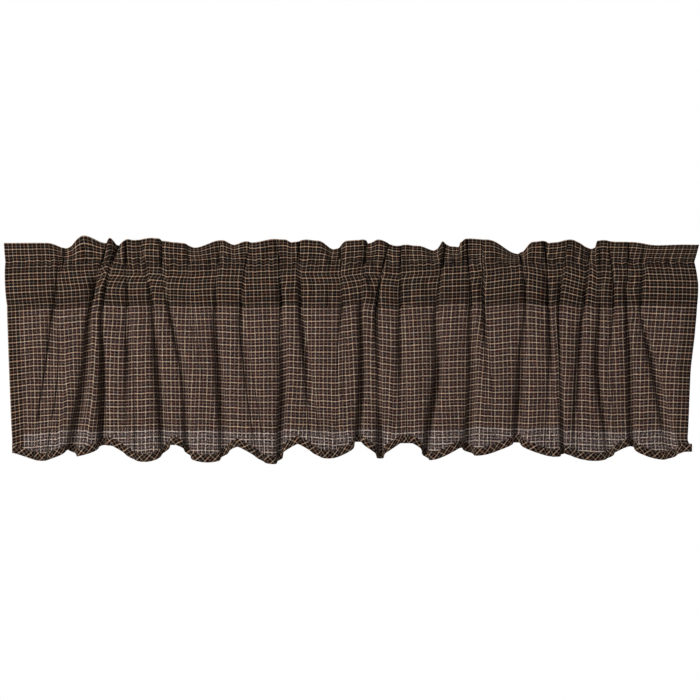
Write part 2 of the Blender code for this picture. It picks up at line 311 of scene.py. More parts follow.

# Creases, listed in mm on the front view: a soft furrow from one end to the other, so wide and so
# deep. A negative depth is a ridge.
Crease = namedtuple("Crease", "x1 z1 x2 z2 width depth")
CREASES = [Crease(*row) for row in (
    (-507, -24, -519, -62, 5, 4),
    (-493, -6, -491, -28, 5, 4),
    (-498, -42, -470, -46, 4, 3),
    (-523, -70, -520, -90, 6, 5),
    (-471, -10, -470, -38, 4, 6),
    (-457, -14, -456, -30, 4, 4),
    (-484, -36, -478, -36, 7, -3),
    (-456, -74, -456, -98, 9, 14),
    (-430, 2, -430, -30, 6, -6),
    (-421, 0, -424, -32, 4, 6),
    (-413, -17, -411, -38, 4, 4),
    (-344, 3, -345, -34, 5, -3),
    (-336, -2, -337, -44, 4, 5),
    (-330, -44, -318, -56, 5, 4),
    (-325, -27, -314, -30, 4, 3),
    (-265, -18, -266, -38, 4, 5),
    (-280, -14, -286, -36, 7, 3),
    (-223, -8, -226, -22, 4, 4),
    (-209, -10, -214, -36, 7, 4),
    (-240, -20, -245, -50, 5, 4),
    (-189, -10, -190, -36, 6, 4),
    (-196, -44, -156, -46, 5, 3),
    (-149, -12, -143, -38, 4, 6),
    (-134, -4, -133, -20, 4, 5),
    (-125, -84, -125, -108, 6, 8),
    (-118, -106, -96, -92, 4, 4),
    (-88, -76, -86, -104, 6, 5),
    (-68, -10, -68, -36, 4, 3),
    (-60, -26, -57, -38, 5, 5),
    (-67, -62, -65, -96, 4, 4),
    (-43, -14, -36, -38, 6, 4),
    (-40, -88, -40, -112, 4, 5),
    (-20, -20, -18, -42, 6, 4),
    (20, 0, 19, -34, 5, -3),
    (26, 0, 24, -40, 4, 7),
    (16, -42, 33, -70, 5, 5),
    (33, -70, 47, -100, 6, 9),
    (36, -34, 50, -58, 5, 5),
    (47, -8, 47, -36, 4, 3),
    (70, -58, 86, -84, 5, 4),
    (94, -71, 128, -73, 3, 3),
    (91, -74, 92, -112, 5, 6),
    (104, -74, 104, -112, 4, 5),
    (106, -6, 106, -36, 5, 3),
    (132, -76, 148, -104, 6, 5),
    (143, -20, 144, -38, 5, 4),
    (165, -2, 165, -42, 5, 9),
    (180, -22, 184, -44, 6, 5),
    (200, -4, 201, -42, 5, 7),
    (216, -4, 215, -36, 4, 3),
    (212, -80, 214, -110, 5, 5),
    (232, -78, 234, -108, 5, 7),
    (240, -98, 306, -98, 4, 3),
    (262, -28, 278, -44, 7, 6),
    (308, -70, 309, -105, 6, 8),
    (326, -10, 325, -38, 5, 4),
    (330, -110, 348, -110, 4, 5),
    (343, -4, 350, -42, 4, 6),
    (347, -62, 348, -108, 6, 9),
    (358, -20, 362, -36, 5, 6),
    (369, -78, 369, -105, 6, 8),
    (388, -80, 388, -98, 5, 4),
    (396, -4, 398, -38, 4, 7),
    (411, -10, 411, -34, 4, 3),
    (424, -22, 429, -44, 6, 6),
    (412, -90, 413, -106, 4, 7),
    (464, -74, 464, -112, 5, 6),
    (485, -76, 486, -105, 5, 6),
    (494, -70, 497, -92, 5, 5),
    (489, -6, 500, -40, 6, 3),
    (526, -14, 519, -40, 6, 2),
    (513, -72, 514, -110, 5, 6),
    (520, -108, 556, -109, 4, 3),
    (539, -28, 539, -40, 4, 4),
    (562, -28, 562, -42, 4, 3),
)]


def through(values, levels):
    """Smooth curves through each row of values at LEVELS: a cubic with the slopes of the neighbours.

    The answer has a row for each level asked for.
    """
    knots = np.array(LEVELS)
    slopes = np.gradient(values, knots, axis=0)
    i = np.clip(np.searchsorted(knots, levels) - 1, 0, len(knots) - 2)
    span = (knots[i + 1] - knots[i])[:, None]
    t = (levels[:, None] - knots[i][:, None]) / span
    start = (1 + 2 * t) * (1 - t) ** 2 * values[i] + t * (1 - t) ** 2 * span * slopes[i]
    end = t * t * (3 - 2 * t) * values[i + 1] + t * t * (t - 1) * span * slopes[i + 1]
    return start + end


def fold_side(shoulder, bottom, depth):
    """Half a fold, from the panel's edge to the middle of its bottom, along the last axis.

    The line bends by a, from 0 to A, over the shoulder's radius r: it has gone r sin a sideways, r (1 - cos a)
    backwards and r a along. It runs straight down the wall and bends back to 0 over the bottom's radius.
    A is the angle whose bends alone reach the depth, 85 degrees at most, and the wall makes up the rest.
    """
    both = shoulder + bottom
    angle = np.minimum(np.arccos(np.clip(1 - depth / both, -1, 1)), WALL_ANGLE)
    wall = np.maximum(depth - both * (1 - np.cos(angle)), 0) / np.sin(angle)
    a = angle[..., None] * np.linspace(0, 1, SHOULDER_STEPS + 1)
    r = shoulder[..., None]
    x, y, s = r * np.sin(a), r * (1 - np.cos(a)), r * a
    top_x = (x[..., -1] + wall * np.cos(angle))[..., None]
    top_y = (y[..., -1] + wall * np.sin(angle))[..., None]
    top_s = (s[..., -1] + wall)[..., None]
    b = angle[..., None] * np.linspace(1, 0, BOTTOM_STEPS + 1)
    r = bottom[..., None]
    full = angle[..., None]
    x = np.concatenate([x, top_x + r * (np.sin(full) - np.sin(b))], axis=-1)
    y = np.concatenate([y, top_y + r * (np.cos(b) - np.cos(full))], axis=-1)
    s = np.concatenate([s, top_s + r * (full - b)], axis=-1)
    return x, y, s


def level_threads(levels):
    """How much lower the level threads run at each panel's left and right end, a row for each level.

    A straight line between the three levels of the table.
    """
    wefts = np.array(WEFTS, float).reshape(-1, len(WEFT_LEVELS), 2) * MM
    step = np.interp(levels, WEFT_LEVELS, np.arange(len(WEFT_LEVELS)))
    weights = np.clip(1 - np.abs(step[:, None] - np.arange(len(WEFT_LEVELS))), 0, 1)
    return weights @ wefts[:, :, 0].T, weights @ wefts[:, :, 1].T


def upright_threads(panels, walked, centres, length, opened, scale):
    """The thread at each panel's middle, as its distance from the cloth's left edge, a row for each level.

    The thread wants to be the one that is plumb above its place at the hem, the last row. Each fold wants
    the cloth between two such threads to be what its own length takes. The least weighted sum of the
    squares of both settles it: wide panels count most, and deep open folds, which can hide it, least. The
    panels at the sides keep the threads of the cloth's edges.
    """
    middles = (walked + panels / 2) * scale
    plumb = middles[-1] + centres - centres[-1]
    plumb[:, 0], plumb[:, -1] = panels[:, 0] * scale / 2, FLAT_WIDTH - panels[:, -1] * scale / 2
    keep = np.clip(panels / PLUMB_FROM, LEAST_PLUMB, 1)
    keep[:, [0, -1]] = EDGE_PLUMB
    tie = (HIDING / (length * (FLAT_HIDING + opened))) ** 2
    pull = np.pad(tie * np.diff(middles, axis=1), ((0, 0), (1, 1)))
    k = np.arange(panels.shape[1])
    matrix = np.zeros((*panels.shape, len(k)))
    matrix[:, k, k] = keep + np.pad(tie, ((0, 0), (0, 1))) + np.pad(tie, ((0, 0), (1, 0)))
    matrix[:, k[:-1], k[1:]] = matrix[:, k[1:], k[:-1]] = -tie
    wanted = keep * plumb + pull[:, :-1] - pull[:, 1:]
    return np.linalg.solve(matrix, wanted[..., None])[..., 0]


def lay_cloth(levels):
    """The cloth's line at each level: x, y, u, drop and warp, a row for each level, a column for each station.

    Panels and folds follow each other from the left edge. u is the length walked along the line, scaled so
    that every level has the cloth's flat width. drop is how much lower the level threads run, straight from
    one end of a panel to the other. warp is the upright thread at each station: threads keep their distance
    on a panel. Where drop and warp don't meet from one panel to the next, the hidden part of the fold between
    them makes up for it.
    """
    levels = np.append(levels, HEM)
    table = np.array(FOLDS, float)
    places = through(table[:, 0:4].T * MM, levels)
    takes = np.maximum(through(table[:, 4:8].T * MM, levels), LEAST_TAKE)
    heading = np.clip(0.5 + (SEAM - levels) / LEAN_BLEND, 0, 1)[:, None]
    lean = table[:, 9] * heading + table[:, 10] * (1 - heading)
    radius = through(np.tile(np.array(RADII)[:, None], len(FOLDS)), levels) * table[:, 8]
    edges = np.array(SIDES, float) * MM
    left = np.interp(levels, edges[:, 0], edges[:, 1])[:, None]
    right = np.interp(levels, edges[:, 0], edges[:, 2])[:, None]
    gaps = np.diff(np.concatenate([left, places, right], axis=1), axis=1)
    room = ROOM_SHARE * gaps / 2
    room[:, [0, -1]] *= 2
    left_radius = np.minimum(radius * 2.0 ** lean, room[:, :-1])
    right_radius = np.minimum(radius * 2.0 ** -lean, room[:, 1:])
    mean = (left_radius + right_radius) / 2

    # The depth that takes up the cloth, with both sides alike.
    angle = np.minimum(np.cbrt(3 * takes / mean), WALL_ANGLE)
    wall = (takes / 2 - mean * (WALL_ANGLE - np.sin(WALL_ANGLE))) / (1 - np.cos(WALL_ANGLE))
    depth = mean * (1 - np.cos(angle)) + np.maximum(wall, 0) * np.sin(angle)

    bottom = (1 - SHOULDER_SHARE) * mean
    x_left, y_left, s_left = fold_side(left_radius - bottom * left_radius / mean, bottom, depth)
    x_right, y_right, s_right = fold_side(right_radius - bottom * right_radius / mean, bottom, depth)
    width = np.stack([x_left[..., -1], x_right[..., -1]])
    # Neighbours that would meet are pressed narrower, so that a strip of panel stays between them.
    used = np.pad(width[0], ((0, 0), (0, 1))) + np.pad(width[1], ((0, 0), (1, 0)))
    fit = np.minimum(1, PRESSED_SHARE * gaps / used)
    x_left, x_right = x_left * fit[:, :-1, None], x_right * fit[:, 1:, None]
    width = width * np.stack([fit[:, :-1], fit[:, 1:]])
    length = s_left[..., -1] + s_right[..., -1]
    opened = np.stack([np.interp(levels, SHOW_LEVELS, row) / 10 for row in SHOWS], axis=1)
    fold_x = np.concatenate([x_left, (width[0] + width[1])[..., None] - x_right[..., -2::-1]], axis=-1)
    fold_y = np.concatenate([y_left, y_right[..., -2::-1]], axis=-1) * opened[..., None]
    fold_s = np.concatenate([s_left, length[..., None] - s_right[..., -2::-1]], axis=-1)
    hidden = np.clip((fold_s / length[..., None] - HIDDEN[0]) / (HIDDEN[1] - HIDDEN[0]), 0, 1)

    starts = np.concatenate([left, places + width[1]], axis=1)
    ends = np.concatenate([places - width[0], right], axis=1)
    panels = ends - starts
    walked = np.pad(np.cumsum(panels[:, :-1] + length, axis=1), ((0, 0), (1, 0)))
    first, last = level_threads(levels)
    scale = FLAT_WIDTH / (walked[-1, -1] + panels[-1, -1])
    threads = upright_threads(panels, walked, (starts + ends) / 2, length, opened, scale)
    first_warp, last_warp = threads - panels * scale / 2, threads + panels * scale / 2

    counts = np.maximum(LEAST_COLUMNS, np.round(panels.max(axis=0) / PANEL_STEP).astype(int))
    stations = []
    for k, count in enumerate(counts):
        share = np.linspace(0, 1, count + 1)[(1 if k else 0):(-1 if k < len(FOLDS) else None)]
        here = slice(k, k + 1)
        run = share * panels[:, here]
        bow = PANEL_BULGE * panels[:, here] * (1 - np.cos(2 * np.pi * share)) / 2
        stations.append((starts[:, here] + run, -bow, walked[:, here] + run,
                         first[:, here] + share * (last - first)[:, here],
                         first_warp[:, here] + run * scale))
        if k < len(FOLDS):
            after = slice(k + 1, k + 2)
            spare = (first_warp[:, after] - last_warp[:, here]) - length[:, here] * scale
            stations.append((ends[:, here] + fold_x[:, k], fold_y[:, k],
                             (walked + panels)[:, here] + fold_s[:, k],
                             last[:, here] + hidden[:, k] * (first[:, after] - last[:, here]),
                             last_warp[:, here] + fold_s[:, k] * scale + hidden[:, k] * spare))
    x, y, s, drop, warp = (np.concatenate(part, axis=1)[:-1] for part in zip(*stations))
    return x, y, s * FLAT_WIDTH / s[:, -1:], drop, warp


def square_to(x, y):
    """The unit direction square to each row's line, pointing backwards."""
    run_x, run_y = np.gradient(x, axis=1), np.gradient(y, axis=1)
    long = np.hypot(run_x, run_y)
    return -run_y / long, run_x / long


def top_edge(x):
    """Height of the header's edge, eased by half a cosine from each crest to the next dip."""
    table = np.array(TOP_EDGE, float) * MM
    places, heights = table[:, 0::2].ravel(), table[:, 1::2].ravel()
    i = np.clip(np.searchsorted(places, x) - 1, 0, len(places) - 2)
    share = np.clip((x - places[i]) / (places[i + 1] - places[i]), 0, 1)
    return heights[i] + (1 - np.cos(np.pi * share)) / 2 * (heights[i + 1] - heights[i])


def hem_depth(u):
    """How far below the top edge the scalloped hem is: a lobe of a power of a sine over each chord."""
    table = np.array(SCALLOPS, float) * MM
    starts, ends, corners, lowest = table.T
    nexts = np.append(corners[1:], LAST_CORNER * MM)
    i = np.clip(np.searchsorted(starts, u, side="right") - 1, 0, len(SCALLOPS) - 1)
    share = np.clip((u - starts[i]) / (ends[i] - starts[i]), 0, 1)
    chord = corners[i] + share * (nexts[i] - corners[i])
    middle = (corners[i] + nexts[i]) / 2
    return chord + (lowest[i] - middle) * np.sin(np.pi * share) ** LOBE_POWER


def wave(u, length, turn):
    """A sine of about the wavelength, whose spacing and height wander so that no two gathers are alike."""
    wander = 1.4 * np.sin(2 * np.pi * u / (length * 4.7) + turn)
    height = 0.65 + 0.35 * np.sin(2 * np.pi * u / (length * 6.3) + 2.1 * turn)
    return height * np.sin(2 * np.pi * u / length + wander + 3 * turn)


def gathers(u, v):
    """How far the cloth stands back from its folds' line.

    Puckers that die away from each row of stitches and slow waves of the whole skirt, both sums of wandering
    sines and both weaker near the side edges.
    """
    level = np.abs(v)
    header = np.exp(-np.abs(level - HEADER) / np.where(level < HEADER, *HEADER_FADES))
    seam = np.exp(-np.abs(level - SEAM) / SEAM_FADE)
    small = HEADER_PUCKERS * header * (wave(u, 0.0165, 0.3) + 0.8 * wave(u, 0.0285, 1.9))
    small += SEAM_PUCKERS * seam * (wave(u, 0.0165, 2.6) + 0.6 * wave(u, 0.031, 0.8))
    slow = LONG_WAVES * wave(u + 0.15 * v, 0.083, 1.1) * np.sin(np.pi * np.clip(level / HEM, 0, 1))
    slow += SLANTED_WAVES * wave(u - 0.35 * v, 0.047, 2.3) * np.clip((level - SEAM) / 0.1, 0, 1)
    calm = np.clip(np.minimum(u, FLAT_WIDTH - u) / CALM_EDGE, 0.25, 1)
    return (small + slow) * calm


def creases(x, z):
    """The listed creases: a bell across each, faded over its own width past its ends."""
    back = np.zeros_like(x)
    for row in CREASES:
        start = np.array([row.x1, row.z1]) * MM
        run = np.array([row.x2, row.z2]) * MM - start
        share = ((x - start[0]) * run[0] + (z - start[1]) * run[1]) / (run @ run)
        share = np.clip(share, 0, 1)
        away = np.hypot(x - start[0] - share * run[0], z - start[1] - share * run[1])
        back += row.depth * MM * np.exp(-(away / (row.width * MM)) ** 2)
    return back


def hang(v_rows):
    """The middle surface of the cloth at rows of v: x, y, z, the direction backwards, u, and its threads.

    The part above the lower seam rises to the wavy top edge and is pushed apart by the rod's room. Below the
    lining's edge the rows follow the scallops. The last two arrays are the place on the flat cloth of the
    upright and of the level thread there.
    """
    v_rows = np.asarray(v_rows, float)
    level = np.abs(v_rows)
    x, y, u, drop, warp = lay_cloth(np.minimum(level, HEM))
    level = level[:, None]
    side = np.where(v_rows < 0, 1.0, -1.0)[:, None]
    low = np.clip((level - LINING_EDGE) / (HEM - LINING_EDGE), 0, 1)
    depth = np.where(low > 0, LINING_EDGE + low * (hem_depth(u) - LINING_EDGE), level + 0 * u)

    heading = level <= SEAM + 1e-6
    across = np.clip(np.abs(level - HEADER - POCKET / 2) / (POCKET / 2), 0, 1)
    round_rod = np.where(level < TURNED_END, 1 - across ** POCKET_POWER, 0.0)
    pressed = np.where(side < 0, ROD_FRONT_FOLDS, ROD_BACK_FOLDS)
    y = y * (1 - pressed * round_rod)
    y = y + gathers(u, side * -level)
    rise = np.clip(1 - level / HEADER, 0, 1)
    height = top_edge(x)
    z = np.where(heading, rise * height - level, -depth)
    y = y - HEADER_LEAN * np.minimum(height, 0) * rise
    behind = 1 - CREASES_LOST * np.clip((level - HEADER) / 0.02, 0, 1)
    y = y + creases(x, z) * np.where(side < 0, 1.0, behind)
    push = np.where(side < 0, -ROD_FRONT, ROD_BACK) * round_rod
    back_x, back_y = square_to(x, y)
    puff = HEADER_PUFF * np.sin(np.pi * np.clip(level / HEADER, 0, 1))
    apart = side * (LAYER + puff)
    sewn = np.where(level < HEADER, HEADER - (HEADER - level) * HEADER_STRETCH, depth)
    drop = drop + WOBBLE * np.exp(-np.abs(level - HEADER) / 0.010) * wave(u, 0.018, 1.4)
    weft = np.where(side < 0, sewn - drop * np.clip(level / HEADER, 0, 1), -sewn)
    return x + back_x * apart, y + back_y * apart + push, z, back_x, back_y, u, warp, weft


def with_side_hems(surface, turn):
    """Carries the surface round both side edges and back inwards for the width of the hem.

    The turned strip repeats the columns next to the edge, set back by turn (one value for each row).
    """
    x, y, z, back_x, back_y, u, warp, weft = surface
    count = x.shape[1]
    inner = int(np.searchsorted(u[len(u) // 2], SIDE_HEM))
    left = np.arange(inner, -1, -1)
    right = count - 1 - left[::-1]
    pick = np.concatenate([left, [0], np.arange(count), [count - 1], right])
    set_back = np.concatenate([np.ones(inner + 1), [0.5], np.zeros(count), [0.5], np.ones(inner + 1)])
    outward = np.zeros(len(pick))
    outward[inner + 1], outward[-inner - 2] = -1, 1
    turn = turn[:, None]
    x = x[:, pick] + back_x[:, pick] * set_back * turn + outward * np.abs(turn) / 2
    y = y[:, pick] + back_y[:, pick] * set_back * turn
    warp = np.where(np.arange(len(pick)) <= inner, -warp[:, pick], warp[:, pick])
    warp = np.where(np.arange(len(pick)) >= len(pick) - inner - 1, 2 * FLAT_WIDTH - warp, warp)
    return x, y, z[:, pick], warp, weft[:, pick]


def new_piece(name, corners, faces):
    """A smooth-shaded mesh of the corners and faces, as an object of the scene."""
    mesh = bpy.data.meshes.new(name)
    mesh.from_pydata(corners.tolist(), [], faces.tolist())
    mesh.polygons.foreach_set("use_smooth", np.ones(len(faces), dtype=bool))
    piece = bpy.data.objects.new(name, mesh)
    bpy.context.scene.collection.objects.link(piece)
    return piece


def cloth_mesh(name, x, y, z, u, v, material):
    """A grid of quads through the arrays, with u and v as its UV map, thickened to both sides.

    The thickened sheet is closed all round, so its faces point outwards whichever way the rows run.
    """
    rows, columns = x.shape
    at = np.arange(rows * columns).reshape(rows, columns)
    quads = np.stack([at[:-1, :-1], at[:-1, 1:], at[1:, 1:], at[1:, :-1]], axis=-1).reshape(-1, 4)
    piece = new_piece(name, np.stack([x, y, z], axis=-1).reshape(-1, 3), quads)
    flat = np.stack([u, v], axis=-1).reshape(-1, 2)[quads.ravel()]
    piece.data.uv_layers.new(name="cloth").data.foreach_set("uv", flat.ravel())
    piece.data.materials.append(material)
    solidify = piece.modifiers.new("thickness", "SOLIDIFY")
    solidify.thickness = THICK
    solidify.offset = 0.0
    return piece


def stitches(name, lines, material):
    """Stitches along lines: each a bead of three rings of four corners, thick in the middle.

    A line is an array of points. Stitch k runs from k steps along it to k plus three quarters.
    """
    ring = np.array([[0, -1], [1, 0], [0, 1], [-1, 0]], float)
    swell = np.array([0.45, 1.0, 0.45])
    i = np.arange(4)
    j = (i + 1) % 4
    tube = np.stack([i, j, j + 4, i + 4], axis=-1)
    tube = np.concatenate([tube, tube + 4, [[3, 2, 1, 0], [8, 9, 10, 11]]])
    corners = []
    for line in lines:
        length = np.append(0, np.cumsum(np.linalg.norm(np.diff(line, axis=0), axis=1)))
        starts = np.arange(STITCH, length[-1] - 2 * STITCH, STITCH)
        stops = starts[:, None] + STITCH * 0.75 * np.array([0, 0.5, 1])
        path = np.stack([np.interp(stops, length, line[:, axis]) for axis in range(3)], axis=-1)
        along = path[:, 2] - path[:, 0]
        along /= np.linalg.norm(along, axis=1, keepdims=True)
        side = np.cross(along, [0.0, 1.0, 0.3])
        side /= np.linalg.norm(side, axis=1, keepdims=True)
        out = np.cross(side, along)
        around = ring[:, 0, None] * side[:, None] + ring[:, 1, None] * out[:, None]
        beads = path[:, :, None] + SEWING_THREAD / 2 * swell[None, :, None, None] * around[:, None]
        corners.append(beads.reshape(-1, 3))
    corners = np.concatenate(corners)
    faces = (np.arange(0, len(corners), 12)[:, None, None] + tube).reshape(-1, 4)
    piece = new_piece(name, corners, faces)
    piece.data.materials.append(material)
    return piece


def linear(code):
    """An sRGB hex colour as linear RGBA."""
    parts = np.array([int(code[i:i + 2], 16) for i in (1, 3, 5)]) / 255
    parts = np.where(parts <= 0.04045, parts / 12.92, ((parts + 0.055) / 1.055) ** 2.4)
    return (*parts.tolist(), 1.0)


def node(tree, kind, settings=(), links=()):
    """Adds a shader node, sets its properties and inputs by name or number, and links its inputs.

    A link comes from a socket, or from a node, which stands for its first output.
    """
    new = tree.nodes.new("ShaderNode" + kind)
    for key, value in dict(settings).items():
        if isinstance(key, str) and hasattr(new, key):
            setattr(new, key, value)
        else:
            new.inputs[key].default_value = value
    for key, source in dict(links).items():
        tree.links.new(source.outputs[0] if hasattr(source, "outputs") else source, new.inputs[key])
    return new


def new_material(name):
    """A new material and its node tree."""
    material = bpy.data.materials.new(name)
    material.use_nodes = True
    return material, material.node_tree


def finish_surface(tree, colour, height, strength, depth, settings):
    """Links the colour and a bump that follows the height, so strong and so deep, and sets other inputs."""
    surface = tree.nodes["Principled BSDF"].inputs
    bump = node(tree, "Bump", {"Strength": strength, "Distance": depth}, {"Height": height})
    tree.links.new(colour, surface["Base Color"])
    tree.links.new(bump.outputs["Normal"], surface["Normal"])
    for socket, value in settings.items():
        surface[socket].default_value = value


def steps(tree, value, table):
    """A value that steps between the shares in a table of (from here on, share)."""
    total, before = None, 0.0
    for at, share in table:
        rise = node(tree, "MapRange", {"From Min": at - STEP_BLUR, "From Max": at + STEP_BLUR,
                                       "To Max": share - before}, {"Value": value})
        before = share
        total = rise if total is None else node(tree, "Math", {"operation": "ADD"}, {0: total, 1: rise})
    return total


def check_cotton(name, paint_light_through):
    """Yarn-dyed check cotton, plain weave, washed and matt: it gives no highlight, only a soft bloom.

    Bright and half-bright khaki lines cross a near-black ground. Every second thread crossing shows the warp,
    the others the weft, so a line is at half strength between crossings and full where two meet. The threads
    are finer than a pixel of the photograph and melt into that mean there. When the second argument is true,
    light and shade are painted into the colour: painted light stands for the lining seen through the cloth
    and, paler, for the light that comes through where it hangs single; where more dark cloth lies behind it,
    it gets none, and a band of painted shade runs along the header's stitches.
    """
    material, tree = new_material(name)
    chart = node(tree, "UVMap", {"uv_map": "cloth"})

    # Threads wander by a quarter of a millimetre.
    drift = node(tree, "TexNoise", {"Scale": 38.0, "Detail": 1.0}, {"Vector": chart})
    drift = node(tree, "VectorMath", {"operation": "SUBTRACT", 1: (0.5, 0.5, 0.5)},
                 {0: drift.outputs["Color"]})
    drift = node(tree, "VectorMath", {"operation": "SCALE", "Scale": 0.0012}, {0: drift})
    place = node(tree, "VectorMath", {"operation": "ADD"}, {0: chart, 1: drift})
    place = node(tree, "VectorMath", {"operation": "SUBTRACT", 1: (0.0, WEFT_START, 0.0)}, {0: place})
    split = node(tree, "SeparateXYZ", links={"Vector": place})

    tones, slubs, crowns = [], [], []
    for axis, repeat, half_line, stretch in (
            ("X", WARP_REPEAT, 0.58, (260.0, 14.0, 1.0)), ("Y", WEFT_REPEAT, 0.30, (14.0, 260.0, 1.0))):
        coordinate = split.outputs[axis]
        away = node(tree, "Math", {"operation": "PINGPONG", 1: repeat / 2}, {0: coordinate})
        line = node(tree, "MapRange", {"From Min": LINE_WIDTH * 0.62, "From Max": LINE_WIDTH * 0.38},
                    {"Value": away})
        middle = node(tree, "MapRange",
                      {"From Min": repeat / 2 - LINE_WIDTH * 0.55, "From Max": repeat / 2 - LINE_WIDTH * 0.32,
                       "To Max": half_line}, {"Value": away})
        both = node(tree, "Math", {"operation": "MAXIMUM"}, {0: line, 1: middle})
        # Slubs: each thread is stronger and weaker along its length.
        slub = node(tree, "VectorMath", {"operation": "MULTIPLY", 1: stretch}, {0: chart})
        slub = node(tree, "TexNoise", {"Scale": 1.0, "Detail": 2.0}, {"Vector": slub})
        slub = node(tree, "MapRange", {"From Min": 0.3, "From Max": 0.7, "To Min": 0.64, "To Max": 1.24},
                    {"Value": slub})
        tone = node(tree, "Math", {"operation": "MULTIPLY"}, {0: both, 1: slub})
        crown = node(tree, "Math", {"operation": "DIVIDE", 1: THREAD}, {0: coordinate})
        tones.append(tone)
        slubs.append(slub)
        crowns.append(crown)

    # Which of the two threads is on top: whole threads counted both ways, odd or even.
    counts = [node(tree, "Math", {"operation": "FLOOR"}, {0: crown}) for crown in crowns]
    total = node(tree, "Math", {"operation": "ADD"}, dict(enumerate(counts)))
    over = node(tree, "Math", {"operation": "PINGPONG", 1: 1.0}, {0: total})
    share = node(tree, "MapRange", {"To Min": WEFT_SHOWS}, {"Value": over})

    # The ground is not one colour: navy, brown and green-black yarns.
    patch = node(tree, "TexNoise", {"Scale": 95.0, "Detail": 2.0}, {"Vector": chart})
    ground = node(tree, "ValToRGB", links={"Fac": patch})
    ramp = ground.color_ramp.elements
    ramp[0].position, ramp[0].color = 0.36, linear("#08070c")
    ramp[1].position, ramp[1].color = 0.64, linear("#180503")
    ramp.new(0.5).color = linear("#0c0604")

    # The khaki yarn takes the dye unevenly, here redder and there greyer green.
    dye = node(tree, "TexNoise", {"Scale": 120.0, "Detail": 1.0}, {"Vector": chart})
    threads = []
    for tone, (warm, cool) in zip(tones, (("#936a52", "#656e65"), ("#a3765c", "#727a70"))):
        bright = node(tree, "Mix", {"data_type": "RGBA", 6: linear(warm), 7: linear(cool)}, {0: dye})
        colour = node(tree, "Mix", {"data_type": "RGBA"}, {0: tone, 6: ground, 7: bright.outputs[2]})
        threads.append(colour.outputs[2])
    weave = node(tree, "Mix", {"data_type": "RGBA"}, {0: share, 6: threads[0], 7: threads[1]})
    # Where two lines meet there is no dark thread between, so they come out brightest.
    meeting = node(tree, "Math", {"operation": "MULTIPLY"}, dict(enumerate(tones)))
    meeting = node(tree, "Math", {"operation": "MULTIPLY", 1: 0.30}, {0: meeting})
    weave = node(tree, "Mix", {"data_type": "RGBA", 7: linear("#c1ac94")}, {0: meeting, 6: weave.outputs[2]})

    if paint_light_through:
        # Painted light: the light that comes through the cloth where it hangs single, and the pale lining seen
        # between its threads, are painted into its colour. The pale threads get much more of it than the dark
        # ones, and keep their own hue.
        flat = node(tree, "SeparateXYZ", links={"Vector": chart})
        across, down = flat.outputs["X"], flat.outputs["Y"]
        gaps = node(tree, "TexNoise", {"Scale": 330.0, "Detail": 1.0}, {"Vector": chart})
        gaps = node(tree, "MapRange", {"From Min": 0.36, "From Max": 0.64, "To Min": -0.1, "To Max": 2.1},
                    {"Value": gaps})
        pale = node(tree, "Math", {"operation": "MAXIMUM"}, dict(enumerate(tones)))
        lit = node(tree, "MapRange", {"To Min": 0.62, "To Max": 3.8}, {"Value": pale})
        painted_through_light = steps(tree, down, PAINTED_SEE_THROUGH)
        for factor in (steps(tree, across, BETWEEN_SIDE_HEMS), gaps, lit):
            painted_through_light = node(tree, "Math", {"operation": "MULTIPLY"}, {0: painted_through_light, 1: factor})
        painted_light_colour = node(tree, "TexNoise", {"Scale": 75.0, "Detail": 1.0}, {"Vector": chart})
        painted_light_colour = node(tree, "Mix", {"data_type": "RGBA", 6: linear("#f09078"), 7: linear("#b0a8c4")}, {0: painted_light_colour})
        # Painted light: where the cloth hangs single, the light from behind is painted in paler and greyer.
        single = steps(tree, down, ((LINING_EDGE, 0.6),))
        for factor, code in ((pale, "#dccdb4"), (single, "#d0cdd2")):
            painted_light_colour = node(tree, "Mix", {"data_type": "RGBA", 7: linear(code)}, {0: factor, 6: painted_light_colour.outputs[2]})
        weave = node(tree, "Mix", {"data_type": "RGBA"},
                     {0: painted_through_light, 6: weave.outputs[2], 7: painted_light_colour.outputs[2]})
        # Painted shade: a dark band along the header's stitches, where little light gets in between the
        # gathers.
        painted_stitch_shade = node(tree, "Math", {"operation": "SUBTRACT", 1: HEADER + 0.003}, {0: down})
        painted_stitch_shade = node(tree, "Math", {"operation": "ABSOLUTE"}, {0: painted_stitch_shade})
        painted_stitch_shade = node(tree, "MapRange", {"From Min": 0.002, "From Max": 0.014, "To Min": 0.27, "To Max": 0.0},
                      {"Value": painted_stitch_shade})
        weave = node(tree, "Mix", {"data_type": "RGBA", 7: linear("#0c0706")},
                     {0: painted_stitch_shade, 6: weave.outputs[2]})

    # Relief: rounded threads over and under each other, and the slubs.
    rounds = [node(tree, "Math", {"operation": "PINGPONG", 1: 0.5}, {0: crown}) for crown in crowns]
    relief = node(tree, "Mix", {"data_type": "FLOAT"}, {0: over, 2: rounds[0], 3: rounds[1]})
    for slub in slubs:
        relief = node(tree, "Math", {"operation": "ADD"}, {0: relief, 1: slub})
    finish_surface(tree, weave.outputs[2], relief, 0.35, 0.0003, {
        "Roughness": 0.95, "Specular IOR Level": 0.03, "Sheen Weight": 0.01, "Sheen Roughness": 0.6})
    return material


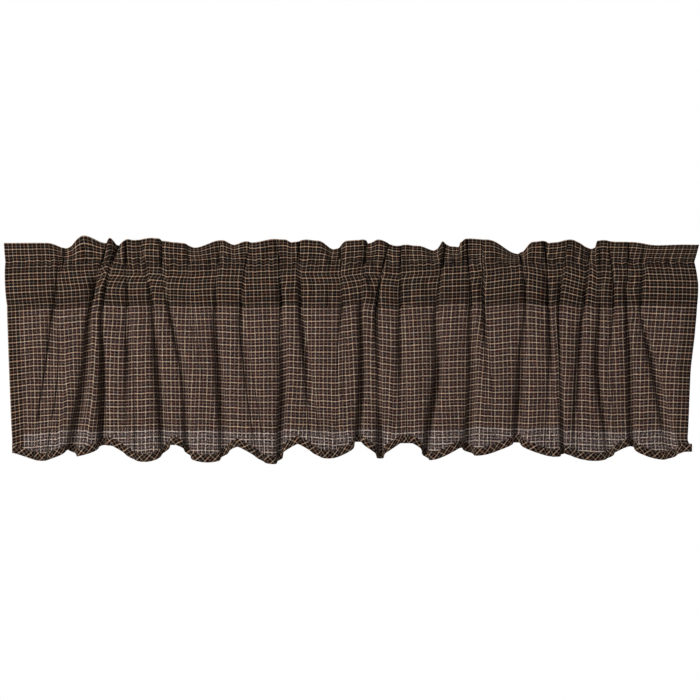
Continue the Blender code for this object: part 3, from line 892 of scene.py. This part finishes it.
def lining_muslin():
    """Unbleached muslin, a plain-woven cotton: warm off-white, matt, with seed flecks; its soft creasing is
    painted shade, a softly mottled lighter and darker tone.
    """
    material, tree = new_material("unbleached cotton muslin")
    chart = node(tree, "UVMap", {"uv_map": "cloth"})
    # Painted shade: soft creasing drawn as a mottled tone between two near off-whites.
    tone = node(tree, "TexNoise", {"Scale": 22.0, "Detail": 5.0}, {"Vector": chart})
    cloth = node(tree, "Mix", {"data_type": "RGBA", 6: linear("#cfc4ae"), 7: linear("#e2dac8")}, {0: tone})
    fleck = node(tree, "TexNoise", {"Scale": 650.0, "Detail": 0.0}, {"Vector": chart})
    fleck = node(tree, "MapRange", {"From Min": 0.74, "From Max": 0.80, "To Max": 0.6}, {"Value": fleck})
    cloth = node(tree, "Mix", {"data_type": "RGBA", 7: linear("#8a7350")}, {0: fleck, 6: cloth.outputs[2]})
    threads = []
    for stretch in ((900.0, 60.0, 1.0), (60.0, 900.0, 1.0)):
        grain = node(tree, "VectorMath", {"operation": "MULTIPLY", 1: stretch}, {0: chart})
        grain = node(tree, "TexNoise", {"Scale": 1.0, "Detail": 1.0}, {"Vector": grain})
        threads.append(grain)
    relief = node(tree, "Math", {"operation": "ADD"}, dict(enumerate(threads)))
    finish_surface(tree, cloth.outputs[2], relief, 0.4, 0.0004, {
        "Roughness": 0.9, "Specular IOR Level": 0.25, "Sheen Weight": 0.1})
    return material


def plain_surface(name, codes, roughness, scale, depth):
    """A fine grain between two near colours: for the sewing thread and the floor."""
    material, tree = new_material(name)
    place = node(tree, "TexCoord").outputs["Object"]
    grain = node(tree, "TexNoise", {"Scale": scale, "Detail": 3.0}, {"Vector": place})
    colour = node(tree, "Mix", {"data_type": "RGBA", 6: linear(codes[0]), 7: linear(codes[1])}, {0: grain})
    finish_surface(tree, colour.outputs[2], grain, 0.3, depth, {"Roughness": roughness})
    return material


def level_rows():
    """v of every row of the cloth, from the hem up the front, over the top edge and down the back."""
    hem = np.linspace(HEM, LINING_EDGE, 7)
    skirt = np.linspace(LINING_EDGE, SEAM + 0.006, 18)[1:]
    seam = np.array([SEAM + 0.002, SEAM, SEAM - 0.003])
    pocket = np.array([107, 100, 92, 84, 76, 68, 60, 54, 49, 45, 42, 40]) * MM
    header = np.array([38.1, 36, 34, 31, 27, 23, 18, 13, 8, 4, 1, 0]) * MM
    back = -np.array([1.5, 5, 12, 20, 28, 34, 38.1]) * MM
    behind = -np.array([41, 46, 55, 65, 76, 88, 100, 110, TURNED_END / MM]) * MM
    return np.concatenate([hem, skirt, seam, pocket, header, back, behind])


def make_cloth(material):
    """The cloth, all in one piece, with its side hems turned in."""
    v_rows = level_rows()
    surface = hang(v_rows)
    turn = np.interp(np.abs(v_rows), *np.transpose(SIDE_HEM_GAPS)) * np.where(v_rows < 0, -1, 1)
    return cloth_mesh("check_cloth", *with_side_hems(surface, turn), material)


def make_lining(material):
    """The lining: from between the layers at the lower seam to its own level hem, turned up behind."""
    down = level_rows()
    down = np.unique(down[(down >= SEAM) & (down <= LINING_EDGE)])
    x, y, z, back_x, back_y, u, _, weft = hang(down)
    share = ((down - SEAM) / (LINING_EDGE - SEAM))[:, None]
    away = LAYER * (1.0 + LINING_FREE * share) + LINING_WAVES * share * wave(u + 0.2 * weft, 0.11, 0.4)
    inside = slice(*np.searchsorted(u[0], (LINING_INSET, FLAT_WIDTH - LINING_INSET)))
    fold_up = np.arange(len(down) - 2, len(down) - 4, -1)
    rows = np.concatenate([np.arange(len(down)), fold_up])
    extra = np.zeros(len(rows))
    extra[len(down):] = LINING_HEM_GAP
    away = away[rows] + extra[:, None]
    x = x[rows] + back_x[rows] * away
    y = y[rows] + back_y[rows] * away
    order = slice(None, None, -1)
    return cloth_mesh("muslin_lining", x[order, inside], y[order, inside], z[rows][order, inside],
                      u[rows][order, inside], weft[rows][order, inside], material)


def make_binding(material):
    """The bias strip folded over the hem: down the back, round the cut edge, up the front, a little plump."""
    x, y, z, back_x, back_y, u, *_ = hang([HEM])
    # Height above the hem and distance backwards from the cloth's middle, in mm.
    profile = np.array([
        (12.7, 0.6), (12.4, 0.9), (9.0, 1.2), (5.0, 1.3), (1.0, 1.15), (-1.1, 0.75), (-1.5, 0.1),
        (-1.2, -0.55), (1.0, -1.0), (5.0, -1.25), (9.0, -1.25), (12.4, -0.95), (12.7, -0.55)]) * MM
    walked = np.cumsum(np.hypot(*np.diff(profile, axis=0, prepend=profile[:1]).T))[:, None]
    lift, back = profile[:, :1], profile[:, 1:]
    # The strip is cut at 45 degrees to the threads.
    surface = (x + back_x * back, y + back_y * back, z + lift,
               (u + walked) / np.sqrt(2), (u - walked) / np.sqrt(2))
    return cloth_mesh("bias_binding", *(part[::-1] for part in surface), material)


def make_stitching(material):
    """Rows of machine stitches: across the header, along the pocket's seam, and on the binding's edge."""
    lines = []
    for v, away, lift in ((HEADER, -ON_CLOTH, 0), (SEAM_ROW, -ON_CLOTH, 0), (-HEADER, ON_CLOTH, 0),
                          (-SEAM_ROW, ON_CLOTH, 0), (HEM, -ON_BINDING_FRONT, BINDING_ROW),
                          (HEM, ON_BINDING_BACK, BINDING_ROW)):
        x, y, z, back_x, back_y, *_ = hang([v])
        lines.append(np.stack([x[0] + back_x[0] * away, y[0] + back_y[0] * away, z[0] + lift], axis=-1))
    return stitches("stitching", lines, material)


def light(name, size, energy, place, aim, colour):
    """A square soft light at a place, turned towards aim."""
    lamp = bpy.data.lights.new(name, "AREA")
    lamp.size, lamp.energy, lamp.color = size, energy, colour
    thing = bpy.data.objects.new(name, lamp)
    thing.location = place
    thing.rotation_euler = (Vector(aim) - Vector(place)).to_track_quat("-Z", "Y").to_euler()
    bpy.context.scene.collection.objects.link(thing)


def make_studio():
    """Pale floor, white surroundings, a soft light from the left front, and the camera straight ahead."""
    corners = np.array([[-1.9, -1.9, -1.2], [1.9, -1.9, -1.2], [1.9, 1.9, -1.2], [-1.9, 1.9, -1.2]])
    floor = new_piece("floor", corners, np.array([[0, 1, 2, 3]]))
    floor.data.materials.append(
        plain_surface("pale painted floor", ("#e3e0da", "#e9e6e2"), 0.8, 60.0, 0.0002))

    # White behind the object, and dimmer on the camera's side, so that the key light models the folds.
    world = bpy.data.worlds.new("white studio")
    world.use_nodes = True
    tree = world.node_tree
    towards = node(tree, "TexCoord").outputs["Generated"]
    towards = node(tree, "SeparateXYZ", links={"Vector": towards}).outputs["Y"]
    white = node(tree, "MapRange", {"interpolation_type": "SMOOTHSTEP", "From Min": -0.5, "From Max": 0.7,
                                    "To Min": FRONT_WALL}, {"Value": towards})
    tree.nodes["Background"].inputs["Color"].default_value = (1.0, 1.0, 1.0, 1.0)
    tree.links.new(white.outputs[0], tree.nodes["Background"].inputs["Strength"])
    bpy.context.scene.world = world
    light("key", size=1.45, energy=276.0, place=(-2.75, -3.05, 1.33), aim=(0.0, 0.0, -0.2),
          colour=(1.0, 0.97, 0.93))

    camera = bpy.data.objects.new("camera", bpy.data.cameras.new("camera"))
    camera.data.sensor_width = 36.0
    camera.data.lens = 115.9
    camera.location = (-0.0027, -4.0, -0.194)
    camera.rotation_euler = (np.pi / 2, 0.0, 0.0)
    bpy.context.scene.collection.objects.link(camera)
    bpy.context.scene.camera = camera


# The check cloth's material paints light and shade into its colour: painted see-through light below the lower
# seam, and painted shade along the header's stitches.
check = check_cotton("dark yarn-dyed check cotton", True)
bias = check_cotton("check cotton cut on the bias", False)
muslin = lining_muslin()
sewing = plain_surface("dark brown polyester thread", ("#1f1814", "#352a24"), 0.55, 900.0, 0.0001)

cloth = make_cloth(check)
lining = make_lining(muslin)
binding = make_binding(bias)
sewn = make_stitching(sewing)
for piece, slot in ((cloth, "cloth"), (lining, "lining"), (binding, "binding"), (sewn, "binding")):
    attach(piece, "root")
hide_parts("valance_cloth")
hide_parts("lining")
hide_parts("hem_binding")
make_studio()
bpy.context.scene.view_settings.view_transform = "Standard"
